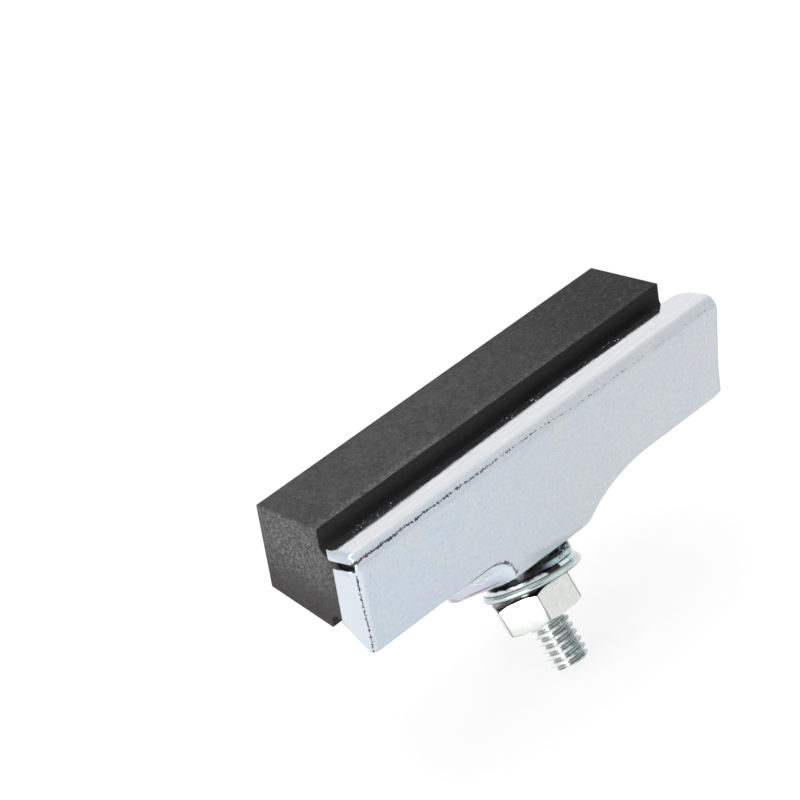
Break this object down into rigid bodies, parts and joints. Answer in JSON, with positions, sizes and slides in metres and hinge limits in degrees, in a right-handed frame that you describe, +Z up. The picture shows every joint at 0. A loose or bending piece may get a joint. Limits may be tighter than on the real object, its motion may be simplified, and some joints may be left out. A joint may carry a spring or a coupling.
{
  "type": "bicycle rim brake pad",
  "caption": "Bicycle rim brake pad: rubber block held in a folded zinc-plated steel shoe, with a threaded stud, washers and hex nut on a pressed seat.",
  "frame": {"origin": "on the stud's axis, in the middle of the thread that stands out past the nut", "axes": "+X along the pad from its tabbed end to its open end, +Y from the holder's plate towards the braking face, +Z up, away from the stud"},
  "size_m": [0.0791, 0.0256, 0.0463],
  "materials": {
    "holder_plating": "bluish zinc plating, glossy",
    "rubber_block": "matte moulded rubber",
    "hardware_plating": "plated thread, semi-gloss",
    "dark_washer": "dark plated spring steel",
    "bright_washer": "bright plating"
  },
  "bodies": {
    "root": {"holder": "holder_plating", "rubber_block": "rubber_block", "stud": "hardware_plating", "spring_washer": "dark_washer", "dished_washer": "bright_washer", "hex_nut": "bright_washer"}
  },
  "joints": []
}
